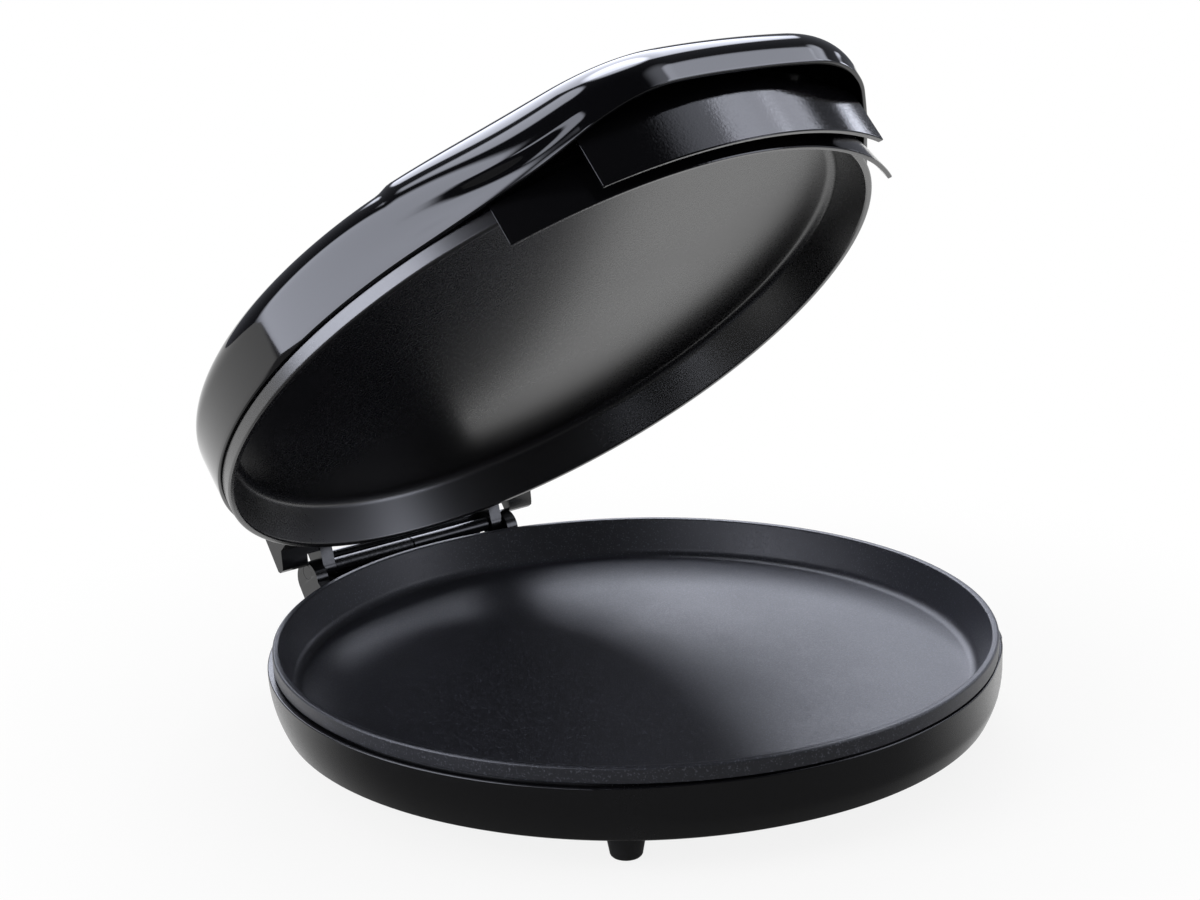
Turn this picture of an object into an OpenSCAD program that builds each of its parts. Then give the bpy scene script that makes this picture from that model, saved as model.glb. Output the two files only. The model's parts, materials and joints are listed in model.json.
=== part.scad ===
// Electric pizza maker: a round base with a baking plate, and a hinged lid with a second one.
// Millimetres. Shapes are written in the closed plate frame: z = 0 is the rim of the lower
// baking plate, the front is -Y and the hinge is at +Y. placed() then stands the part on z = 0,
// and opened() swings what belongs to the lid to its rest angle.

/* [Baking plates] */
// Inner radius of both baking plates at the rim
plate_r = 152; // [125:1:165]
// Depth of the lower plate below its rim
plate_depth = 17.5; // [15:0.5:18]
// Depth of the lid plate behind its rim
lid_plate_depth = 20; // [14:0.5:22]
// Sheet thickness of the plates
plate_t = 1.6; // [1.2:0.1:2]
// Width of the flat rim of a plate
rim_w = 3; // [2.6:0.1:4]
// Height of the band turned over outside the rim
band_h = 6.4; // [4:0.1:8]
// How far a plate wall leans in from rim to floor
wall_lean = 4.5; // [2:0.5:8]
// Inside radius between wall and floor
floor_fillet = 5; // [2:0.5:8]
// Gap between the two rims when the lid is shut
rim_gap = 0.6; // [0.4:0.1:2]
// Shadow gap between a plate band and its casing
band_gap = 0.6; // [0.3:0.1:1.5]

/* [Base housing] */
// Clearance between the nuts under the reflector and the floor of the housing
floor_gap = 0.8; // [0.6:0.1:8]
// Width of the ledge outside the plate band
ledge_w = 2.4; // [1.5:0.1:4]
// Wall of the moulded housing
housing_t = 2.5; // [1.8:0.1:3]
// How far the foot of the wall lies inside the ledge
wall_tuck = 9.9; // [6:0.1:14]
// Half angle of the front where the guard hangs past the ledge
recess_half = 46; // [42:1:60]
// Height of the feet
foot_h = 13.4; // [8:0.2:20]
// Radius of a foot at its top
foot_r = 8.6; // [6:0.1:11]
// Distance of the feet from the middle, sideways
foot_x = 90; // [70:1:95]
// Distance of the feet from the middle, front to back
foot_y = 96; // [70:1:98]

/* [Lid shell] */
// How far the lip of the lid shell stands outside the plate band
shell_over = 1.5; // [1.2:0.1:3]
// Wall of the lid shell
shell_t = 2.2; // [1.5:0.1:2.6]
// Height of the crown above the rim plane
crown_h = 51; // [49:0.5:60]
// Height the dome has come down to above the lip
shoulder_h = 37.5; // [36:0.5:42]
// Radius of the shoulder between wall and dome
shoulder_r = 7; // [4:0.5:9]
// Reach of the front brow ahead of the plate band
brow_reach = 25; // [22:0.5:30]
// Half width of the straight front of the brow
brow_half_w = 41; // [30:1:50]
// Corner radius of the brow in plan
brow_corner_r = 26; // [18:1:30]
// Rise of the lip to the middle of the brow
arch_h = 9.5; // [4:0.5:12]
// Half angle over which the lip rises
arch_half = 34; // [30:1:40]
// Height of the raised panel that runs back from the brow
ridge_h = 1.6; // [0.5:0.1:2.5]

/* [Handle] */
// Outer radius of the grip panel beyond the plate band
grip_out = 15.6; // [14:0.1:17]
// Thickness of the grip panel
grip_t = 2.4; // [2:0.1:3]
// Half angle of the grip panel
grip_half = 26.5; // [20:0.5:28]
// Depth of the grip and the guard below the rim plane
grip_drop = 11.4; // [6:0.2:14]
// Outer radius of the guard at its lower edge beyond the plate band
guard_out = 6; // [5.4:0.1:7]
// Thickness of the guard
guard_t = 2; // [1.6:0.1:2.2]
// Half angle of the guard
guard_half = 39.5; // [32:0.5:41]

/* [Hinge] */
// Distance of the hinge pin behind the plate band
hinge_back = 8.4; // [7.8:0.1:12]
// Depth of the hinge pin below the rim plane
hinge_drop = 1.2; // [0:0.1:3]
// Radius of the hinge pin
pin_r = 2; // [1.6:0.1:2.4]
// Running clearance of the pin in a hinge arm
pin_fit = 0.05; // [0.03:0.01:0.1]
// Outer radius of the tubes on the pin
sleeve_r = 3.3; // [3:0.1:4]
// Half length of the two tubes together
sleeve_reach = 46; // [36:1:50]
// Width of a base bracket along the pin
bracket_w = 6.2; // [5.4:0.1:9]
// Width of an arm's knuckle on the pin
knuckle_w = 6.6; // [5:0.1:8]
// Radius of the knuckle of an arm
knuckle_r = 4.8; // [4:0.1:5.2]
// Width of the lug of a lid arm outside its bracket
arm_w = 14; // [10:0.1:18]
// Side clearance between neighbours on the pin
side_gap = 0.4; // [0.3:0.05:0.8]
// Angle of the lid above shut, as it stands
lid_angle = 42.9; // [0:0.1:57]

/* [Heating] */
// Radius of the tube of a heating element
element_r = 3; // [2.5:0.1:3.2]
// Distance of the tube ring inside the reflector's edge
ring_in = 28; // [20:1:50]
// Distance of the reflector's edge inside the plate's rim
reflector_in = 20; // [17:0.5:32]
// Thickness of the reflector sheet
reflector_t = 0.6; // [0.5:0.1:0.8]
// Radius of the thermostat bodies
thermostat_r = 8; // [6:0.5:10]
// Radius of a plate stud
stud_r = 2; // [1.5:0.1:2.5]
// Radius of the circle of plate studs
stud_circle = 60; // [50:1:75]

/* [Cord inlet] */
// Radius of the hole for the cord in the gland
cord_hole_r = 3.6; // [3:0.1:4]
// Radius of the neck of the gland
gland_neck_r = 5.6; // [5:0.1:6.5]

/* [Hidden] */
$fn = 96;
fine = 180;             // segments of the large round shells
seat = 0.3;             // gap between neighbours that only touch
touch = 0.02;           // what cuts run past a face

// Radii that follow from the plates
rim_r = plate_r + rim_w;
ledge_r = rim_r + ledge_w;
lid_r = rim_r + shell_over;
front_r = rim_r + seat;
foot_line_r = ledge_r - wall_tuck;

// Heights that follow from the plates, and from what is stacked under the lower one
reflector_r = plate_r - reflector_in;
ring_r = reflector_r - ring_in;
nut_t = 1.4;
lower_dish_d = 2 * element_r + 2.2;
upper_dish_d = 2 * element_r + 3;
housing_depth = plate_depth + plate_t + lower_dish_d + reflector_t + nut_t + floor_gap + housing_t;
housing_top = -band_h - band_gap;
housing_floor = -housing_depth + housing_t;
table_z = housing_depth + foot_h;
lid_lip = rim_gap + band_h + band_gap;
floor_under = -plate_depth - plate_t;
ceiling_top = rim_gap + lid_plate_depth + plate_t;

// Hinge
hinge_y = rim_r + hinge_back;
hinge_z = -hinge_drop;
knuckle_x = sleeve_reach + side_gap;
bracket_x = knuckle_x + knuckle_w + side_gap;
pad_w = knuckle_w + side_gap + bracket_w;
arm_x = bracket_x + bracket_w + side_gap;
pin_end = bracket_x + bracket_w;
plug_t = 2;
arm_top = 27;           // height of the back of an arm where it meets the shell
boss_screw_r = 1.6;

wall_in = 1.4;          // how far the wall of the shell leans in up to the shoulder
function dome(r) = crown_h - (crown_h - shoulder_h) * pow(r / lid_r, 2);

// How far the tallest points of the lid swing back
function swung_y(p) = hinge_y + (p[0] - hinge_y) * cos(lid_angle) + (p[1] - hinge_z) * sin(lid_angle);
shell_side = [for (a = [0:22.5:90]) let (r = lid_r - wall_in - shoulder_r * (1 - cos(a)))
    [r, dome(lid_r) - shoulder_r + (shoulder_r + dome(r) - dome(lid_r)) * sin(a)]];
rear_y = max([for (p = shell_side) swung_y(p)]);
centre_y = (rear_y - max(rim_r, front_r)) / 2;

module placed() { translate([0, -centre_y, table_z]) children(); }
module opened() {
    placed() translate([0, hinge_y, hinge_z]) rotate([-lid_angle, 0, 0])
        translate([0, -hinge_y, -hinge_z]) children();
}
module ring(points, segments = fine) { rotate_extrude($fn = segments) polygon(points); }
// A stretch of ring from -half to +half about the front
module front_arc(points, half) {
    rotate([0, 0, -90 - half]) rotate_extrude(angle = 2 * half, $fn = fine) polygon(points);
}
// A bar along X between two distances from the middle plane
module across(x0, x1) { translate([x0, 0, 0]) rotate([90, 0, 90]) linear_extrude(x1 - x0) children(); }
module along_pin(r, x0, x1) { translate([x0, hinge_y, hinge_z]) rotate([0, 90, 0]) cylinder(h = x1 - x0, r = r); }
module mirrored_left() { mirror([1, 0, 0]) children(); }
function arc(cx, cy, r, a0, a1, steps = 6) =
    [for (i = [0:steps]) let (a = a0 + (a1 - a0) * i / steps) [cx + r * cos(a), cy + r * sin(a)]];

// ---------- baking plates ----------

// Section of a plate as radius and depth behind the rim, with its band turned back down
function plate_section(depth) = let (foot = plate_r - wall_lean, f = floor_fillet, t = plate_t) concat(
    [[0, depth]],
    arc(foot - f, depth - f, f, 90, 10),
    [[plate_r, 0], [rim_r, 0], [rim_r, band_h], [rim_r - t, band_h], [rim_r - t, t], [plate_r + 0.6, t]],
    arc(foot - f, depth - f, f + t, 10, 90),
    [[0, depth + t]]);

module plate_blank(depth) { ring(plate_section(depth)); }

module plate_stud_holes() {
    for (a = [30:120:270]) rotate([0, 0, a]) translate([stud_circle, 0, 0]) children();
}

module lower_plate() {
    color("#2e2e32") placed() mirror([0, 0, 1]) plate_blank(plate_depth);
}

module upper_plate() {
    color("#343438") opened() translate([0, 0, rim_gap]) plate_blank(lid_plate_depth);
}

// ---------- base ----------

bevel = 3.4;            // width of the bevel at the foot of the wall
wall_steps = 7;
wall_foot = -housing_depth + 2.4;
function wall_r(z) = let (u = (housing_top - z) / (housing_depth + housing_top))
    ledge_r - (wall_tuck - bevel) * pow(u, 2.2);
function wall_line(inset) = [for (i = [0:wall_steps])
    let (z = housing_top + (wall_foot - housing_top) * i / wall_steps) [wall_r(z) - inset, z]];
// The inside of the wall, which follows the set-back front
inner_line = [for (p = wall_line(0)) if (p[1] > housing_floor) [min(p[0], front_r) - housing_t, p[1]]];
// The plate band stands on a step inside the ledge, which leaves the shadow gap round it
step_r = rim_r - plate_t + 1;
housing_section = concat(
    [[0, -housing_depth], [foot_line_r, -housing_depth]],
    [for (i = [wall_steps:-1:0]) wall_line(0)[i]],
    [[step_r, housing_top], [step_r, -band_h], [front_r - housing_t, -band_h]],
    inner_line,
    [[foot_line_r - housing_t, housing_floor], [0, housing_floor]]);
// Depth at which the wall has come in to the set-back front
recess_z = housing_top - (housing_depth + housing_top) * pow((ledge_r - front_r) / (wall_tuck - bevel), 1 / 2.2);

foot_places = [[-foot_x, -foot_y], [foot_x, -foot_y], [-foot_x, foot_y], [foot_x, foot_y]];
foot_boss_r = 5;
foot_boss_h = 1.8;
screw_core_r = 1.5;
vent_w = 3;
vent_l = 26;

// Flat pads on the wall for the hinge brackets
pad_y = sqrt(ledge_r * ledge_r - knuckle_x * knuckle_x) + 0.6;
pad_top = housing_top - 0.4;
pad_h = 18;
pad_in = 6.4;
module bracket_screw_places() {
    for (s = [-1, 1]) for (z = [pad_top - 4, pad_top - pad_h + 4])
        translate([s * (knuckle_x + pad_w / 2), pad_y, z]) rotate([-90, 0, 0]) children();
}

gland_face_y = ledge_r + 0.6;
gland_pad_r = gland_neck_r + 3.2;
gland_z = housing_floor + gland_pad_r + seat;

module base_housing() {
    color("#19191b") placed() difference() {
        union() {
            ring(housing_section);
            for (s = [-1, 1]) translate([s > 0 ? knuckle_x : -knuckle_x - pad_w, pad_y - pad_in, pad_top - pad_h])
                cube([pad_w, pad_in, pad_h]);
            translate([0, gland_face_y - 6, gland_z]) rotate([-90, 0, 0]) cylinder(h = 6, r = gland_pad_r);
            for (p = foot_places) translate([p[0], p[1], housing_floor - touch])
                cylinder(h = foot_boss_h, r = foot_boss_r);
        }
        // the front, set back behind the guard
        front_arc([[front_r, housing_top + 1], [ledge_r + 2, housing_top + 1], [ledge_r + 2, recess_z - 1],
            [front_r, recess_z - 1]], recess_half);
        for (p = foot_places) translate([p[0], p[1], -housing_depth - 1])
            cylinder(h = housing_t + foot_boss_h + 2, r = screw_core_r + 0.1);
        for (a = [0:30:330]) rotate([0, 0, a]) translate([62, -vent_w / 2, -housing_depth - 1])
            cube([vent_l, vent_w, housing_t + 2]);
        translate([0, ledge_r - 14, gland_z]) rotate([-90, 0, 0]) cylinder(h = 20, r = gland_neck_r + seat);
        bracket_screw_places() {
            translate([0, 0, -20]) cylinder(h = 21, r = boss_screw_r + 0.1);
            translate([0, 0, -20]) cylinder(h = 20 - pad_in + 1, r = boss_screw_r * 1.9 + 0.3);
        }
    }
}

gland_flange_t = 2;
module cord_gland() {
    inner = gland_face_y - 9;
    color("#202022") placed() translate([0, 0, gland_z]) rotate([-90, 0, 0]) translate([0, 0, inner])
        rotate_extrude() polygon([[cord_hole_r, 0], [gland_neck_r, 0], [gland_neck_r, 9],
            [gland_neck_r + 2.4, 9], [gland_neck_r + 1.6, 9 + gland_flange_t],
            [cord_hole_r + 1, 9.5 + gland_flange_t], [cord_hole_r, 9 + gland_flange_t]]);
}

// A foot: a rubber cup round its screw head
foot_head_r = 3.2;
foot_head_depth = 4;
module foot(place) {
    color("#161617") placed() translate([place[0], place[1], -housing_depth - foot_h]) rotate_extrude()
        polygon(concat([[foot_head_r, 0]], arc(foot_r - 4.1, 2, 2, -90, 0, 5),
            [[foot_r, foot_h], [screw_core_r + 0.1, foot_h], [screw_core_r + 0.1, foot_head_depth],
            [foot_head_r, foot_head_depth]]));
}
module foot_front_left() { foot(foot_places[0]); }
module foot_front_right() { foot(foot_places[1]); }
module foot_rear_left() { foot(foot_places[2]); }
module foot_rear_right() { foot(foot_places[3]); }

module foot_screws() {
    color("#b8b8bc") placed() for (p = foot_places)
        translate([p[0], p[1], -housing_depth - foot_h + foot_head_depth]) {
            cylinder(h = foot_h - foot_head_depth + housing_t + foot_boss_h - 1, r = screw_core_r);
            translate([0, 0, -2]) cylinder(h = 2, r = foot_head_r - seat);
        }
}

// ---------- heating, wiring and controls in the base ----------

// A ring of heating tube with two cold ends turned towards the side given by out
element_gap = 30;       // degrees left open at the back
module element_ring(z, side) {
    translate([0, 0, z]) rotate([0, 0, 90 + element_gap / 2]) {
        rotate_extrude(angle = 360 - element_gap) translate([ring_r, 0]) circle(r = element_r, $fn = 32);
        for (a = [0, 360 - element_gap]) rotate([0, 0, a]) translate([ring_r, 0, 0])
            rotate([a == 0 ? 90 : -90, 0, 0]) cylinder(h = 9, r = element_r * 0.8, $fn = 32);
    }
}
lower_ring_z = floor_under - element_r;
upper_ring_z = ceiling_top + element_r;
clip_angles = [0:60:300];

// A strap over the tube with a foot on either side, seen with the plate below it
module clip_set(z0) {
    for (a = clip_angles) rotate([0, 0, a - 30]) translate([ring_r, -4, z0]) {
        rise = 2 * element_r + seat;
        reach = element_r + seat;
        difference() {
            translate([-reach - 1, 0, 0]) cube([2 * reach + 2, 8, rise + 1]);
            translate([-reach, -1, -1]) cube([2 * reach, 10, rise + 1]);
        }
        for (s = [-1, 1]) translate([s > 0 ? reach + 1 - touch : -reach - 6, 0, 0]) cube([5 + touch, 8, 1]);
    }
}

module lower_heating_element() { color("#5c5c60") placed() element_ring(lower_ring_z, -1); }
module upper_heating_element() { color("#5c5c60") opened() element_ring(upper_ring_z, 1); }
module lower_element_clips() {
    color("#a8a8ac") placed() translate([0, 0, floor_under]) mirror([0, 0, 1]) clip_set(0);
}
module upper_element_clips() { color("#a8a8ac") opened() translate([0, 0, ceiling_top]) clip_set(0); }

// A dish that faces the plate, from its back out to a skirt that stands on the plate
module dish(d) {
    difference() {
        ring([[0, d], [reflector_r - 6, d], [reflector_r, 0], [reflector_r + reflector_t * 1.3, 0],
            [reflector_r - 6 + reflector_t, d + reflector_t], [0, d + reflector_t]]);
        plate_stud_holes() translate([0, 0, d - 1]) cylinder(h = reflector_t + 2, r = stud_r + 0.2, $fn = 24);
    }
}
module lower_reflector() {
    color("#c9c9cd") placed() translate([0, 0, floor_under]) mirror([0, 0, 1]) dish(lower_dish_d);
}
module upper_reflector() { color("#c9c9cd") opened() translate([0, 0, ceiling_top]) dish(upper_dish_d); }

module studs(d) {
    plate_stud_holes() cylinder(h = d + reflector_t + nut_t + 0.2, r = stud_r, $fn = 24);
}
module nuts(d) {
    plate_stud_holes() translate([0, 0, d + reflector_t]) difference() {
        cylinder(h = nut_t, r = stud_r * 2, $fn = 6);
        translate([0, 0, -1]) cylinder(h = nut_t + 2, r = stud_r + 0.02, $fn = 24);
    }
}
module lower_plate_studs() {
    color("#bdbdc2") placed() translate([0, 0, floor_under]) mirror([0, 0, 1]) studs(lower_dish_d);
}
module upper_plate_studs() { color("#bdbdc2") opened() translate([0, 0, ceiling_top]) studs(upper_dish_d); }
module lower_plate_nuts() {
    color("#8d8d92") placed() translate([0, 0, floor_under]) mirror([0, 0, 1]) nuts(lower_dish_d);
}
module upper_plate_nuts() { color("#8d8d92") opened() translate([0, 0, ceiling_top]) nuts(upper_dish_d); }

// A bimetal disc thermostat that lies against the back of a plate
module thermostat_body() {
    cylinder(h = 4.4, r = thermostat_r, $fn = 48);
    cylinder(h = 1, r = thermostat_r + 2, $fn = 48);
    for (s = [-1, 1]) translate([s * thermostat_r * 0.6 - 1.5, -0.4, 4.4 - touch]) cube([3, 0.8, 2.2]);
}
module lower_thermostat() {
    color("#d9c9a3") placed() translate([0, 0, floor_under]) mirror([0, 0, 1]) thermostat_body();
}
module upper_thermostat() { color("#d9c9a3") opened() translate([0, 0, ceiling_top]) thermostat_body(); }

module thermal_fuse() {
    color("#e6e2d8") placed() translate([28, 0, floor_under - 2]) rotate([0, 90, 0]) {
        cylinder(h = 14, r = 2, $fn = 32);
        translate([0, 0, -7]) cylinder(h = 28, r = 0.6, $fn = 24);
    }
}

block_size = [34, 12, 8];
module terminal_block() {
    color("#e3ded2") placed() translate([-block_size[0] / 2, reflector_r + 4, housing_floor]) difference() {
        cube([block_size[0], 8, block_size[2]]);
        for (i = [0:2]) translate([block_size[0] * (i + 0.5) / 3, -1, block_size[2] / 2])
            rotate([-90, 0, 0]) cylinder(h = 10, r = 1.8, $fn = 24);
    }
}

// The flat duct that carries the leads from the block to the hinge
module wiring_duct() {
    color("#8c2f28") placed() translate([block_size[0] / 2 + 1, reflector_r + 3.6, housing_floor]) difference() {
        cube([12, 5, 4]);
        translate([-1, 1, 1]) cube([14, 3, 2]);
    }
}

// ---------- hinge ----------

bracket_foot = pad_top - pad_h;
ear_r = 8.6;
ear_drop = 4;           // how far the middle of the round ear lies below the pin

// Side view of a bracket without its round ear: a block on its pad
module bracket_side() {
    polygon([[pad_y, bracket_foot], [hinge_y - 3, bracket_foot], [hinge_y + ear_r - 1, hinge_z - ear_drop - 4],
        [hinge_y, hinge_z - ear_drop], [hinge_y - 1, hinge_z - ear_drop + ear_r - 1.4], [pad_y, pad_top]]);
}

module hinge_bracket() {
    difference() {
        union() {
            across(bracket_x, bracket_x + bracket_w) bracket_side();
            translate([0, 0, -ear_drop]) along_pin(ear_r, bracket_x, bracket_x + bracket_w);
            // the foot reaches in under the knuckle of the arm
            across(knuckle_x, bracket_x + touch) polygon([[pad_y, bracket_foot], [hinge_y - 3, bracket_foot],
                [hinge_y + 3, bracket_foot + 5], [hinge_y + 3, hinge_z - knuckle_r - 1.2], [pad_y, pad_top]]);
        }
        along_pin(pin_r, bracket_x - 1, pin_end + 1);
        along_pin(pin_r + 1.5, pin_end - plug_t, pin_end + 1);
        bracket_screw_places() translate([0, 0, -1]) cylinder(h = 8.2, r = boss_screw_r + 0.1);
    }
}
module hinge_bracket_left() { color("#1d1d1f") placed() mirrored_left() hinge_bracket(); }
module hinge_bracket_right() { color("#1d1d1f") placed() hinge_bracket(); }

module bracket_screws() {
    color("#b8b8bc") placed() bracket_screw_places() translate([0, 0, 1 - pad_in]) {
        cylinder(h = pad_in + 5.2, r = boss_screw_r);
        translate([0, 0, -2]) cylinder(h = 2, r = boss_screw_r * 1.9);
    }
}

// A strip from bracket to bracket that closes the hinge off at the back
module hinge_cover() {
    back = hinge_y + sleeve_r + 3.2;
    color("#161618") placed() difference() {
        across(-sleeve_reach, sleeve_reach) polygon([[pad_y - 4, hinge_z - 8.2], [back, hinge_z - 8.2],
            [back, hinge_z + 4.8], [back - 0.6, hinge_z + 5.2], [back - 1.6, hinge_z + 5.2], [back - 2, hinge_z + 4.8],
            [back - 2, hinge_z - 6.2], [pad_y - 4, hinge_z - 6.2]]);
        translate([0, 0, -40]) cylinder(h = 60, r = ledge_r + 0.1, $fn = fine);
    }
}

module hinge_pin() { color("#9a9aa0") placed() along_pin(pin_r, plug_t - pin_end, pin_end - plug_t); }

module hinge_tube(x0, x1) {
    difference() {
        along_pin(sleeve_r, x0, x1);
        along_pin(pin_r + pin_fit, x0 - 1, x1 + 1);
    }
}
module hinge_sleeve_left() { color("#3d3d41") placed() hinge_tube(-sleeve_reach, -side_gap / 2); }
module hinge_sleeve_right() { color("#333337") placed() hinge_tube(side_gap / 2, sleeve_reach); }

// Side views of a lid arm with the lid shut: the web over its knuckle, and the lug outside the bracket
module arm_web() {
    polygon([[hinge_y - knuckle_r * 0.92, hinge_z - 1.4], [hinge_y + knuckle_r * 0.96, hinge_z],
        [hinge_y + 2.5, hinge_z + 12], [hinge_y - 2, arm_top - 3], [hinge_y - 24, arm_top],
        [hinge_y - 24, lid_lip + 1.2], [hinge_y - 10, lid_lip + 0.4]]);
}
module arm_lug() {
    polygon([[hinge_y - 28, lid_lip + 1.2], [hinge_y - 10.5, lid_lip + 0.6], [hinge_y - 5.6, hinge_z + 3.2],
        [hinge_y - 4.2, hinge_z + 2.1], [hinge_y - 1.6, hinge_z + 2.4], [hinge_y - 0.6, hinge_z + 3.6],
        [hinge_y - 3, arm_top - 8], [hinge_y - 6.5, arm_top], [hinge_y - 28, arm_top + 0.6]]);
}
bridge_r = ear_r + 1;   // the arm stays outside this radius where it passes the bracket
module hinge_arm() {
    difference() {
        union() {
            across(knuckle_x, knuckle_x + knuckle_w) arm_web();
            along_pin(knuckle_r, knuckle_x, knuckle_x + knuckle_w);
            difference() {
                across(knuckle_x + touch, arm_x + touch) arm_lug();
                along_pin(bridge_r, knuckle_x + knuckle_w, arm_x + 1);
            }
            across(arm_x, arm_x + arm_w) arm_lug();
        }
        along_pin(pin_r + pin_fit, knuckle_x - 1, knuckle_x + knuckle_w + touch);
        translate([0, 0, -20]) cylinder(h = 90, r = lid_r + 0.1, $fn = fine);
    }
}
module hinge_arm_left() { color("#151516") opened() mirrored_left() hinge_arm(); }
module hinge_arm_right() { color("#151516") opened() hinge_arm(); }

module pin_plug() { along_pin(pin_r + 1.5, pin_end - plug_t, pin_end); }
module pin_plug_left() { color("#151516") placed() mirrored_left() pin_plug(); }
module pin_plug_right() { color("#151516") placed() pin_plug(); }

// ---------- lid ----------

// Plan of the shell: a circle with a front brow whose flanks run straight on to the circle.
// Angles are counted from the front.
corner_x = brow_half_w;
corner_y = rim_r + brow_reach - brow_corner_r;
flank_angle = atan2(corner_x, corner_y) + acos((lid_r - brow_corner_r) / norm([corner_x, corner_y]));
corner_end = atan2(corner_x + brow_corner_r * sin(flank_angle), corner_y + brow_corner_r * cos(flank_angle));
function plan_r(phi) = let (a = abs(phi > 180 ? phi - 360 : phi))
    a >= flank_angle ? lid_r
    : a > corner_end ? lid_r / cos(flank_angle - a)
    : (corner_y + brow_corner_r) * tan(a) <= corner_x ? (corner_y + brow_corner_r) / cos(a)
    : let (along = corner_x * sin(a) + corner_y * cos(a), off = corner_x * cos(a) - corner_y * sin(a))
        along + sqrt(brow_corner_r * brow_corner_r - off * off);

function ease(t) = let (u = min(max(t, 0), 1)) u * u * (3 - 2 * u);
// Height of the raised panel: full on the brow, narrowing and fading out towards the back
function ridge(x, y) = let (back = y / lid_r + 0.58, half = lid_r * (0.765 - (back < 0 ? 0.5 : 0.3) * back))
    ridge_h * ease((half - abs(x)) / 7) * ease(1.4 - back * 1.1);
function lip_z(phi) = let (a = abs(phi > 180 ? phi - 360 : phi) / arch_half)
    lid_lip + (a < 1 ? arch_h * pow(1 - pow(a, 2.5), 2) : 0);

front_step = 2;
back_step = 6.2;
front_span = 50;
shell_angles = concat([for (a = [-front_span:front_step:front_span]) a],
    [for (a = [front_span + 6:back_step:360 - front_span - 5.9]) a]);
shoulder_angles = [for (a = [0:22.5:90]) a];
top_shares = [0.8, 0.58, 0.34, 0.12];
ring_count = 2 + len(shoulder_angles) + len(top_shares);

// Point k of the meridian at angle phi, on the surface that lies inset inside the outer one
function shell_point(phi, k, inset) = let (
    plan = plan_r(phi) - inset,
    top_r = plan - wall_in - shoulder_r + inset * 0.5,
    bend = shoulder_r - inset * 0.5,
    spring = dome(plan) - inset - bend,
    a = k >= 2 && k < 2 + len(shoulder_angles) ? k - 2 : 0,
    r = k == 0 ? plan : k == 1 ? plan - wall_in * 0.5
        : k < 2 + len(shoulder_angles) ? top_r + bend * cos(a * 22.5)
        : top_r * top_shares[k - 2 - len(shoulder_angles)],
    x = r * sin(phi), y = -r * cos(phi),
    z = k == 0 ? lip_z(phi) : k == 1 ? (lip_z(phi) + spring) / 2
        : k < 2 + len(shoulder_angles) ? spring + bend * sin(a * 22.5) + (dome(r) - dome(plan)) * sin(a * 22.5)
            + ridge(x, y) * sin(a * 22.5)
        : dome(r) - inset + ridge(x, y)) [x, y, z];

module lid_shell() {
    n = len(shell_angles);
    m = ring_count;
    outer = [for (k = [0:m - 1]) for (phi = shell_angles) shell_point(phi, k, 0)];
    inner = [for (k = [0:m - 1]) for (phi = shell_angles) shell_point(phi, k, shell_t)];
    top = [[0, 0, crown_h + ridge(0, 0)], [0, 0, crown_h - shell_t + ridge(0, 0)]];
    o = n * m;
    quads = [for (k = [0:m - 2]) for (i = [0:n - 1]) let (j = (i + 1) % n)
        [[k * n + i, k * n + j, k * n + n + j, k * n + n + i],
         [o + k * n + j, o + k * n + i, o + k * n + n + i, o + k * n + n + j]]];
    split = [for (q = quads) for (f = q) for (t = [[f[2], f[1], f[0]], [f[3], f[2], f[0]]]) t];
    lip = [for (i = [0:n - 1]) let (j = (i + 1) % n) for (t = [[i, j, o + i], [o + i, j, o + j]]) t];
    last = (m - 1) * n;
    caps = [for (i = [0:n - 1]) let (j = (i + 1) % n)
        for (t = [[2 * o, last + j, last + i], [o + last + i, o + last + j, 2 * o + 1]]) t];
    color("#101012") opened() polyhedron(concat(outer, inner, top), concat(split, lip, caps));
}

// A ring under the shell that the band of the plate stands on, with bosses for the handle
module lid_frame() {
    r0 = plate_r - 0.3;
    r1 = lid_r - shell_t - 0.4;
    z0 = rim_gap + band_h;
    color("#1b1b1d") opened() difference() {
        union() {
            ring([[r0, z0], [r1, z0], [r1, z0 + 1.2], [r1 - 0.7, z0 + 2], [r1 - 0.7, z0 + 6],
                [r0 - 0.8, z0 + 6], [r0, z0 + 2]]);
            for (a = handle_screw_angles) rotate([0, 0, a - 90]) translate([r0 - 0.4, -5, z0 + 5])
                cube([guard_in_r - 0.1 - r0 + 0.4, 10, 11]);
        }
        for (a = handle_screw_angles) rotate([0, 0, a - 90]) translate([r0 - 3, 0, screw_z])
            rotate([0, 90, 0]) cylinder(h = 10, r = boss_screw_r + 0.1, $fn = 24);
    }
}

// ---------- handle ----------

grip_r = rim_r + grip_out;
grip_neck_r = rim_r + 7;        // outer radius of the grip above its flare
grip_neck_z = lid_lip + 2.4;
grip_top = lid_lip + 18;
guard_top_r = rim_r + 2.6;      // outer radius of the guard at the lip of the shell
guard_tab_r = guard_top_r - 0.2;
guard_in_r = guard_top_r - guard_t;
guard_tab_half = 33;
guard_tab_top = lid_lip + 16;
handle_screw_angles = [-16, 16];
screw_z = lid_lip + 12;

module handle_screw_holes(r0, l) {
    for (a = handle_screw_angles) rotate([0, 0, a - 90]) translate([r0, 0, screw_z])
        rotate([0, 90, 0]) cylinder(h = l, r = boss_screw_r + 0.1, $fn = 24);
}

module handle_grip() {
    color("#131315") opened() difference() {
        front_arc([[guard_tab_r + 0.2, screw_z - 4], [grip_neck_r - grip_t, screw_z - 4],
            [grip_neck_r - grip_t, grip_neck_z], [grip_r - grip_t, 0.4 - grip_drop], [grip_r - 0.5, -grip_drop],
            [grip_r, 0.6 - grip_drop], [grip_neck_r, grip_neck_z], [grip_neck_r, grip_top],
            [guard_tab_r + 0.2, grip_top]], grip_half);
        handle_screw_holes(guard_top_r - 1, grip_neck_r - 0.8 - guard_top_r + 1);
    }
}

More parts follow.
